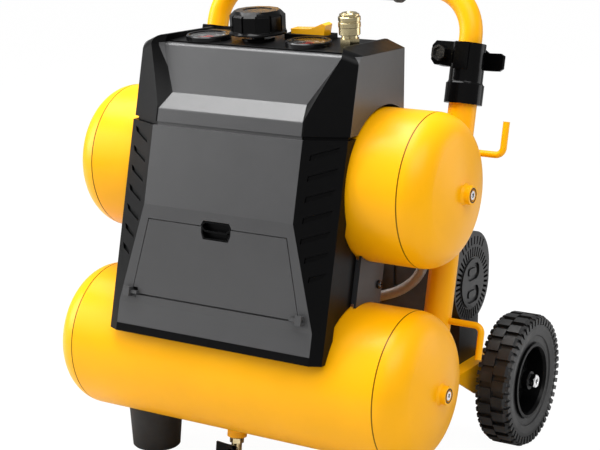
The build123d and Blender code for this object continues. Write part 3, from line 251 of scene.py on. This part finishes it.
YELLOW = (0.96, 0.44, 0.0008)
YELLOW_COAT = {"base": YELLOW, "rough": 0.34, "coat": 0.0, "shine": 0.2}
FINE_GRAIN = {"grain": 1700.0, "depth": 0.00006, "strength": 0.25}
SMOOTH_GRAIN = {"grain": 1300.0, "depth": 0.00004, "strength": 0.15}
LOOKS = {
    "yellow": painted("yellow_powder_coat", **YELLOW_COAT),
    # the tanks' paint carries painted shade along the seam grooves at X = +-TANK_SEAM_X
    "tank_yellow": painted("tank_powder_coat", seam=TANK_SEAM_X, **YELLOW_COAT),
    "grey_plastic": moulded("grey_moulding", (0.052, 0.052, 0.0535), 0.34),
    "dark_steel": painted("dark_painted_steel", (0.020, 0.0215, 0.024), 0.42, 0.1, shine=0.4),
    "black_plastic": moulded(
        "black_moulding", (0.0018, 0.0018, 0.0020), 0.32, shine=0.10, **FINE_GRAIN),
    "gloss_black": moulded(
        "gloss_black_moulding", (0.0015, 0.0015, 0.0017), 0.16, shine=0.16, **SMOOTH_GRAIN),
    "black_steel": painted("black_painted_steel", (0.003, 0.003, 0.0035), 0.2, 0.15, shine=0.25),
    "zinc": machined("bright_zinc", (0.72, 0.71, 0.69), 0.22),
    "braid": machined("braid_core", (0.10, 0.095, 0.085), 0.5),
    "brass": machined("pale_brass", (0.66, 0.56, 0.33), 0.2),
    "cast": cast_metal("die_cast_aluminium", (0.42, 0.43, 0.45), 0.42),
    "iron": cast_metal("blue_grey_casting", (0.060, 0.072, 0.092), 0.45, 0.0),
    "steel_shaft": machined("ground_steel", (0.5, 0.5, 0.51), 0.22),
    "rubber": rubber("black_rubber", (0.006, 0.006, 0.006)),
    "tyre": rubber("tyre_rubber", (0.006, 0.006, 0.0065), 0.46, 0.2),
    "lens": clear("gauge_lens"),
    "needle": painted("needle_red", (0.55, 0.03, 0.015), 0.35, 0.3),
    "rocker": moulded(
        "yellow_moulding", (0.95, 0.45, 0.006), 0.25, depth=0.00004, coat=0.4, strength=0.2),
    "foam": foam("grip_foam", (0.010, 0.010, 0.010)),
    "braid_wire": machined("braid_wire", (0.46, 0.47, 0.47), 0.34, 0.2),
    "screw_black": painted("black_oxide_screw", (0.006, 0.006, 0.007), 0.12, 0.6, metal=0.3),
    "bright_steel": machined("bright_steel", (0.86, 0.86, 0.87), 0.12),
    "dial_card": painted("dial_card", (0.012, 0.012, 0.013), 0.5, 0.1),
    "dial_ink": painted("dial_ink", (0.72, 0.72, 0.70), 0.5, 0.1),
    "fan_moulding": moulded(
        "fan_moulding", (0.006, 0.006, 0.0065), 0.34, shine=0.4, **FINE_GRAIN),
    "gunmetal": machined("gunmetal_bolt", (0.10, 0.097, 0.094), 0.24),
}
SLOT_OF = {part["node"]: part["material_slot"] for part in frame["record"]["subparts"]}
OWN_LOOK = {
    "handle_grip": "foam", "clamp_bolts": "gunmetal", "cover_screws": "screw_black",
    "fan_cover": "fan_moulding", "tank_plugs": "bright_steel", "axle_nuts": "bright_steel",
    "upper_tank": "tank_yellow", "lower_tank": "tank_yellow",
}
for node, cad in NODES.items():
    cad.data.materials.clear()
    cad.data.materials.append(LOOKS[OWN_LOOK.get(node, SLOT_OF[node])])


# ---- rounded edges on the mouldings ----
WELD_REACH = 0.00001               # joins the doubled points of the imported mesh
FLAT_WITHIN = math.radians(0.6)    # faces this close to one plane become one face
ROUNDED = {                        # radii by the least fold, in degrees, that is rounded
    4.0: {
        "front_cover": 0.0007, "service_door": 0.0007, "control_housing": 0.0009,
        "hoop_left": 0.0011, "hoop_right": 0.0011,
        "vent_panel_left": 0.0007, "vent_panel_right": 0.0007,
    },
    30.0: {
        "control_panel": 0.0006, "door_latch": 0.0005, "base_plate": 0.0006,
        "regulator_knob": 0.0007, "clamp_left": 0.0010, "clamp_right": 0.0010,
        "lock_lever_left": 0.0010, "lock_lever_right": 0.0010,
        "switch_rocker": 0.0010, "fan_cover": 0.0007,
    },
}


def round_edges(node, width, angle):
    """Fine edge radius with even shading over the flats."""
    cad = NODES[node]
    weld = cad.modifiers.new("weld", "WELD")
    weld.merge_threshold = WELD_REACH
    flats = cad.modifiers.new("flats", "DECIMATE")
    flats.decimate_type = "DISSOLVE"
    flats.angle_limit = FLAT_WITHIN
    edges = cad.modifiers.new("edges", "BEVEL")
    edges.width = width
    edges.segments = 2
    edges.limit_method = "ANGLE"
    edges.angle_limit = math.radians(angle)
    shading = cad.modifiers.new("shading", "WEIGHTED_NORMAL")
    shading.keep_sharp = False


for least_fold, group in ROUNDED.items():
    for node, width in group.items():
        round_edges(node, width, least_fold)


# ---- mesh helpers ----
def add_piece(name, build, look, body, sharp=38.0):
    """Mesh object in the row frame that rides on a body."""
    mesh = bpy.data.meshes.new(name)
    mesh.from_pydata([tuple(v) for v in build.verts], [], build.faces)
    mesh.validate()
    mesh.polygons.foreach_set("use_smooth", [True] * len(mesh.polygons))
    mesh.set_sharp_from_angle(angle=math.radians(sharp))
    mesh.materials.append(LOOKS[look])
    thing = bpy.data.objects.new(name, mesh)
    bpy.context.scene.collection.objects.link(thing)
    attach(thing, body)
    return thing


class Build:
    """Collects rings of points into one mesh."""

    def __init__(self):
        self.verts = []
        self.faces = []

    def ring(self, points):
        start = len(self.verts)
        self.verts.extend(points)
        return list(range(start, start + len(points)))

    def skin(self, a, b):
        """Band of faces between two closed rings."""
        for i in range(len(a)):
            j = (i + 1) % len(a)
            self.faces.append((a[i], a[j], b[j], b[i]))

    def column(self, rings):
        """Rings skinned one to the next, with flat ends."""
        for a, b in zip(rings, rings[1:]):
            self.skin(a, b)
        self.faces.append(tuple(reversed(rings[0])))
        self.faces.append(tuple(rings[-1]))

    def lathe(self, profile, where, steps=48):
        """Closed (radius, height) outline turned about the Z axis of a matrix."""
        rings = []
        for k in range(steps):
            a = 2 * math.pi * k / steps
            turned = [Vector((r * math.cos(a), r * math.sin(a), h)) for r, h in profile]
            rings.append(self.ring([where @ point for point in turned]))
        for k in range(steps):
            self.skin(rings[k], rings[(k + 1) % steps])

    def tube(self, path, radius, sides):
        """Round tube along a list of points."""
        ways = [2 * math.pi * i / sides for i in range(sides)]
        self.column([
            self.ring([spot + (side * math.cos(a) + up * math.sin(a)) * radius for a in ways])
            for spot, side, up in transported(path)
        ])

    def slab(self, outline, where, low, high):
        """Outline of (x, y) points between two heights of a matrix."""
        self.column([
            self.ring([where @ Vector((x, y, height)) for x, y in outline])
            for height in (low, high)
        ])


def transported(path):
    """Point, side and up along a path, carried without twist."""
    result = []
    up = None
    for i, spot in enumerate(path):
        before = path[max(i - 1, 0)]
        after = path[min(i + 1, len(path) - 1)]
        way = (after - before).normalized()
        if up is None:
            up = Vector((0, 0, 1)) if abs(way.z) < 0.9 else Vector((0, 1, 0))
        up = (up - way * up.dot(way)).normalized()
        result.append((spot, way.cross(up), up))
    return result


def read_back(curve):
    """Vertices and faces that a curve makes; the curve itself is removed."""
    holder = bpy.data.objects.new(curve.name, curve)
    mesh = bpy.data.meshes.new_from_object(holder)
    verts = [v.co.copy() for v in mesh.vertices]
    faces = [tuple(p.vertices) for p in mesh.polygons]
    bpy.data.objects.remove(holder)
    bpy.data.curves.remove(curve)
    bpy.data.meshes.remove(mesh)
    return verts, faces


def nurbs_path(points):
    """Points along a smooth spline with the given control points."""
    curve = bpy.data.curves.new("route", "CURVE")
    curve.dimensions = "3D"
    spline = curve.splines.new("NURBS")
    spline.points.add(len(points) - 1)
    for control, place in zip(spline.points, points):
        control.co = (*place, 1.0)
    spline.order_u = 3
    spline.use_endpoint_u = True
    spline.resolution_u = 14
    return read_back(curve)[0]


def even_path(path, step):
    """The same path with evenly spaced points."""
    lengths = [0.0]
    for a, b in zip(path, path[1:]):
        lengths.append(lengths[-1] + (b - a).length)
    count = max(2, round(lengths[-1] / step))
    result = []
    k = 0
    for i in range(count + 1):
        want = lengths[-1] * i / count
        while k < len(path) - 2 and lengths[k + 1] < want:
            k += 1
        share = (want - lengths[k]) / (lengths[k + 1] - lengths[k])
        result.append(path[k].lerp(path[k + 1], share))
    return result


def hexagon(across_flats):
    """Corners of a regular hexagon."""
    reach = across_flats / 2 / math.cos(math.pi / 6)
    ways = [math.pi / 3 * k for k in range(6)]
    return [(reach * math.cos(a), reach * math.sin(a)) for a in ways]


# ---- braided hose ----
HOSE_R = 0.0062                    # outside of the braid
HOSE_PORT = row(0.075, 0, 0)       # on the lower tank's axis, under its union
HOSE_WAY = Vector((0, math.cos(math.radians(25)), math.sin(math.radians(25))))
HEAD_PORT = row(0.136, 0.1789, 0.1837)     # in the front of the pump's head
HOSE_STARTS = (0.108, 0.128)       # first points of the hose, out along HOSE_WAY
HOSE_MIDDLE = (
    (0.092, 0.137, 0.058), (0.122, 0.143, 0.068), (0.146, 0.149, 0.090),
    (0.152, 0.153, 0.122), (0.150, 0.155, 0.152), (0.142, 0.152, 0.176),
)
HOSE_ENDS = ((0, -0.014, -0.002), (0, -0.004, 0))    # last points, from HEAD_PORT
ROUTE_STEP = 0.0004                # spacing of the points along the hose
CORE_EVERY = 6                     # the core has a ring at one point in so many
WIRE_EVERY = 2                     # and so has each ribbon

STRANDS = 12                       # ribbons in each of the two crossing sets
BRAID_PITCH = 0.026                # length of one turn of a ribbon
RIBBON_HALF_WIDTH = 0.00095
RIBBON_HALF_THICK = 0.00022
RIBBON_LIFT = 0.00017              # rise and fall where ribbons cross
RIBBON_SINK = 0.0001               # middle of a ribbon, inside HOSE_R
CORE_SINK = 0.0006                 # surface of the core, inside HOSE_R

UNION_NUT = (0.019, 0.0972, 0.106)         # across flats, and its two heights
HEAD_NUT = (0.016, 0.0002, 0.004)
FERRULE_R = 0.0078
FERRULE_GROOVE_R = 0.0070
FERRULE_GROOVES = 4
CRIMP_R = 0.0074
CRIMP_GROOVE_R = 0.0069


def hose_route():
    """Evenly spaced points from the lower tank's union to the pump's head."""
    points = [HOSE_PORT + HOSE_WAY * along for along in HOSE_STARTS]
    points += [row(*place) for place in HOSE_MIDDLE]
    points += [HEAD_PORT + Vector(offset) for offset in HOSE_ENDS]
    return even_path(nurbs_path(points), ROUTE_STEP)


def ribbon(wires, frames, strand, sense):
    """One wire ribbon wound about the route; sense is its hand."""
    rings = []
    for i in range(0, len(frames), WIRE_EVERY):
        spot, side, up = frames[i]
        turn = 2 * math.pi * i * ROUTE_STEP / BRAID_PITCH
        a = sense * turn + 2 * math.pi * strand / STRANDS
        radial = side * math.cos(a) + up * math.sin(a)
        round_way = (up * math.cos(a) - side * math.sin(a)) * sense
        ahead = round_way.cross(radial).normalized()
        along = (round_way * (HOSE_R / BRAID_PITCH * 2 * math.pi) + ahead).normalized()
        across = along.cross(radial).normalized()
        wave = math.cos(STRANDS * turn + math.pi * strand) * sense * RIBBON_LIFT
        centre = spot + radial * (HOSE_R - RIBBON_SINK + wave)
        rings.append(wires.ring([
            centre + across * RIBBON_HALF_WIDTH, centre + radial * RIBBON_HALF_THICK,
            centre - across * RIBBON_HALF_WIDTH, centre - radial * RIBBON_HALF_THICK,
        ]))
    wires.column(rings)


def braided_hose():
    """Rubber core, two crossing sets of wire ribbons, and a crimped fitting at each end."""
    path = hose_route()
    core = Build()
    core.tube(path[::CORE_EVERY] + [path[-1]], HOSE_R - CORE_SINK, 20)
    hose = add_piece("hose_core", core, "braid", "frame")

    wires = Build()
    frames = transported(path)
    for sense in (1, -1):
        for strand in range(STRANDS):
            ribbon(wires, frames, strand, sense)
    add_piece("hose_braid", wires, "braid_wire", "frame", 60)

    ends = Build()
    low = frame_of(HOSE_PORT, HOSE_WAY)
    flats, bottom, top = UNION_NUT
    ends.slab(hexagon(flats), low, bottom, top)
    # Outlines from here on are (radius, height) pairs.
    ferrule = [(0.0, 0.106), (FERRULE_R, 0.106), (FERRULE_R, 0.108)]
    for k in range(FERRULE_GROOVES):
        h = 0.1085 + 0.003 * k
        ferrule += [
            (FERRULE_R, h), (FERRULE_GROOVE_R, h + 0.0007),
            (FERRULE_GROOVE_R, h + 0.0012), (FERRULE_R, h + 0.0019),
        ]
    ferrule += [(FERRULE_R, 0.1215), (0.0066, 0.1225), (0.0, 0.1225)]
    ends.lathe(ferrule, low)
    ends.lathe([(0.0, 0.0925), (0.0058, 0.0925), (0.0058, 0.098), (0.0, 0.098)], low, 32)
    high = frame_of(HEAD_PORT, (0, -1, 0))
    flats, bottom, top = HEAD_NUT
    ends.slab(hexagon(flats), high, bottom, top)
    ends.lathe([
        (0.0, 0.004), (CRIMP_R, 0.004), (CRIMP_R, 0.0052), (CRIMP_GROOVE_R, 0.0057),
        (CRIMP_GROOVE_R, 0.0064), (CRIMP_R, 0.0069), (CRIMP_R, 0.0092),
        (0.0066, 0.0098), (0.0, 0.0098),
    ], high)
    add_piece("hose_fittings", ends, "zinc", "frame", 30)
    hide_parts("braided_hose")


# ---- gauges ----
DIAL_START = 225                   # angle of the first tick, degrees
DIAL_SWEEP = 270
DIAL_TICKS = 40
DIAL_DIGITS = 4                    # steps from the first number to the last
DIAL_TOP = 200                     # the last number
MAJOR_EVERY = 5                    # one tick in so many is long
DIGIT_SIZE = 0.0052
DIGIT_RING = 0.0152                # radius of the ring of numbers
TICK_END = 0.0222
MAJOR_TICK = (0.0188, 0.00028)     # inner radius and half width
MINOR_TICK = (0.0202, 0.00014)
CARD_BORE, CARD_R = 0.0011, 0.0234
CARD_BASE, CARD_TOP = 0.00305, 0.0032            # heights above the deck
INK_BASE, DIGIT_BASE, INK_TOP = 0.00318, 0.00326, 0.00328


def flat_text(text, size):
    """Filled outline of plain digits, as vertices and faces about their middle."""
    curve = bpy.data.curves.new("digits", "FONT")
    curve.body = text
    curve.size = size
    curve.align_x = "CENTER"
    curve.align_y = "CENTER"
    return read_back(curve)


def dial_angle(share):
    return math.radians(DIAL_START - DIAL_SWEEP * share)


def gauge_dial(name, x, y):
    """Dark dial card with pale ticks and plain digits."""
    where = frame_of(deck(x, y, 0.0), DECK_WAY)
    card = Build()
    outline = [
        (CARD_BORE, CARD_BASE), (CARD_R, CARD_BASE), (CARD_R, CARD_TOP), (CARD_BORE, CARD_TOP),
    ]
    card.lathe(outline, where, 64)
    add_piece(name + "_card", card, "dial_card", "frame", 30)

    marks = Build()
    for k in range(DIAL_TICKS + 1):
        turned = where @ Matrix.Rotation(dial_angle(k / DIAL_TICKS), 4, "Z")
        inner, half = MINOR_TICK if k % MAJOR_EVERY else MAJOR_TICK
        tick = [(inner, -half), (TICK_END, -half), (TICK_END, half), (inner, half)]
        marks.slab(tick, turned, INK_BASE, INK_TOP)
    for k in range(DIAL_DIGITS + 1):
        a = dial_angle(k / DIAL_DIGITS)
        verts, faces = flat_text(str(round(DIAL_TOP * k / DIAL_DIGITS)), DIGIT_SIZE)
        shift = Vector((DIGIT_RING * math.cos(a), DIGIT_RING * math.sin(a), DIGIT_BASE))
        start = len(marks.verts)
        marks.verts.extend(where @ (v + shift) for v in verts)
        marks.faces.extend(tuple(i + start for i in face) for face in faces)
    add_piece(name + "_marks", marks, "dial_ink", "frame", 30)


# ---- seals of the tank plugs ----
SEAL_OUTLINE = (
    (0.00712, -0.0008), (0.0086, -0.0008), (0.0086, 0.0002), (0.0079, 0.0006), (0.00712, 0.0002),
)


def plug_seals():
    """Rubber ring around each tank plug."""
    seals = Build()
    for side in (1, -1):
        for s in (0.0, TANK_PITCH):
            where = frame_of(leaned(side * PLUG_X, 0, s), (side, 0, 0), (0, 1, 0))
            seals.lathe(SEAL_OUTLINE, where)
    add_piece("plug_seals", seals, "rubber", "frame")


# ---- camera, light and floor ----
CAMERA_PLACE = (0.9995, -1.5295 - ORIGIN_Y, 0.7340)
CAMERA_AZIMUTH = math.radians(31.46)
CAMERA_ELEVATION = math.radians(13.25)
FOCAL_LENGTH = 95.13               # millimetres, on a sensor 36 mm wide
SENSOR_WIDTH = 36.0
FLOOR_HALF = 30.0
FLOOR_GLOW = 1.08                  # the floor as the camera sees it, for a plain pale ground
FLOOR_GLOW_SHARE = 0.90
ROOM_LIGHT = 0.38                  # even light from all round
MIDDLE = (0, 0, 0.3)
SOFTBOXES = (                      # name, place, target, width and height, watts
    ("key", (-2.0, -1.0, 1.0), MIDDLE, (1.2, 1.2), 36.0),
    ("fill", (1.2, -1.0, 1.9), MIDDLE, (1.6, 1.2), 25.0),
    ("side", (1.5, 1.25, 0.5), MIDDLE, (1.0, 1.0), 6.0),
    ("ledge", (-0.84, -0.20, 1.72), (0, -0.1, 0.42), (0.7, 0.7), 13.5),
    ("top", (-0.3, -0.1, 1.9), MIDDLE, (1.6, 0.7), 31.0),
)


def aim(thing, target):
    way = Vector(target) - thing.location
    thing.rotation_euler = way.to_track_quat("-Z", "Y").to_euler()


def add_camera():
    data = bpy.data.cameras.new("camera")
    data.lens = FOCAL_LENGTH
    data.sensor_width = SENSOR_WIDTH
    camera = bpy.data.objects.new("camera", data)
    bpy.context.scene.collection.objects.link(camera)
    camera.location = CAMERA_PLACE
    across = math.cos(CAMERA_ELEVATION)
    way = Vector((
        -math.sin(CAMERA_AZIMUTH) * across,
        math.cos(CAMERA_AZIMUTH) * across,
        -math.sin(CAMERA_ELEVATION),
    ))
    aim(camera, camera.location + way)
    bpy.context.scene.camera = camera


def add_softbox(name, place, target, size, power):
    data = bpy.data.lights.new(name, "AREA")
    data.shape = "RECTANGLE"
    data.size, data.size_y = size
    data.energy = power
    light = bpy.data.objects.new(name, data)
    bpy.context.scene.collection.objects.link(light)
    light.location = place
    aim(light, target)


def add_floor():
    """Plain pale ground, a little brighter to the eye than what it reflects."""
    mesh = bpy.data.meshes.new("floor")
    h = FLOOR_HALF
    mesh.from_pydata([(-h, -h, 0), (h, -h, 0), (h, h, 0), (-h, h, 0)], [], [(0, 1, 2, 3)])
    floor = bpy.data.objects.new("floor", mesh)
    bpy.context.scene.collection.objects.link(floor)
    s = Shader("pale_floor")
    s.colour((0.6, 0.6, 0.6), 3.0, 0.01)
    s.set(Roughness=0.9, Specular_IOR_Level=0.05)
    glow = s.add("ShaderNodeEmission", {"Color": (1, 1, 1, 1), "Strength": FLOOR_GLOW})
    seen = s.add("ShaderNodeLightPath").outputs["Is Camera Ray"]
    share = s.math("MULTIPLY", seen, FLOOR_GLOW_SHARE)
    lit = s.add("ShaderNodeMixShader", {0: share, 1: s.surface.outputs[0], 2: glow.outputs[0]})
    s.tree.links.new(lit.outputs[0], s.out.inputs[0])
    mesh.materials.append(s.material)


def add_world():
    """Even room light, with a plain white backdrop."""
    world = bpy.data.worlds.new("studio")
    world.use_nodes = True
    tree = world.node_tree
    room = tree.nodes["Background"]
    wall = tree.nodes.new("ShaderNodeBackground")
    for background, strength in ((room, ROOM_LIGHT), (wall, 1.0)):
        background.inputs[0].default_value = (1, 1, 1, 1)
        background.inputs[1].default_value = strength
    either = tree.nodes.new("ShaderNodeMixShader")
    seen = tree.nodes.new("ShaderNodeLightPath")
    tree.links.new(seen.outputs["Is Camera Ray"], either.inputs[0])
    tree.links.new(room.outputs[0], either.inputs[1])
    tree.links.new(wall.outputs[0], either.inputs[2])
    tree.links.new(either.outputs[0], tree.nodes["World Output"].inputs[0])
    bpy.context.scene.world = world
    bpy.context.scene.view_settings.view_transform = "Standard"


plug_seals()
braided_hose()
gauge_dial("tank_dial", -0.080, 0.027)
gauge_dial("outlet_dial", 0.057, 0.030)
add_camera()
add_floor()
add_world()
for softbox in SOFTBOXES:
    add_softbox(*softbox)
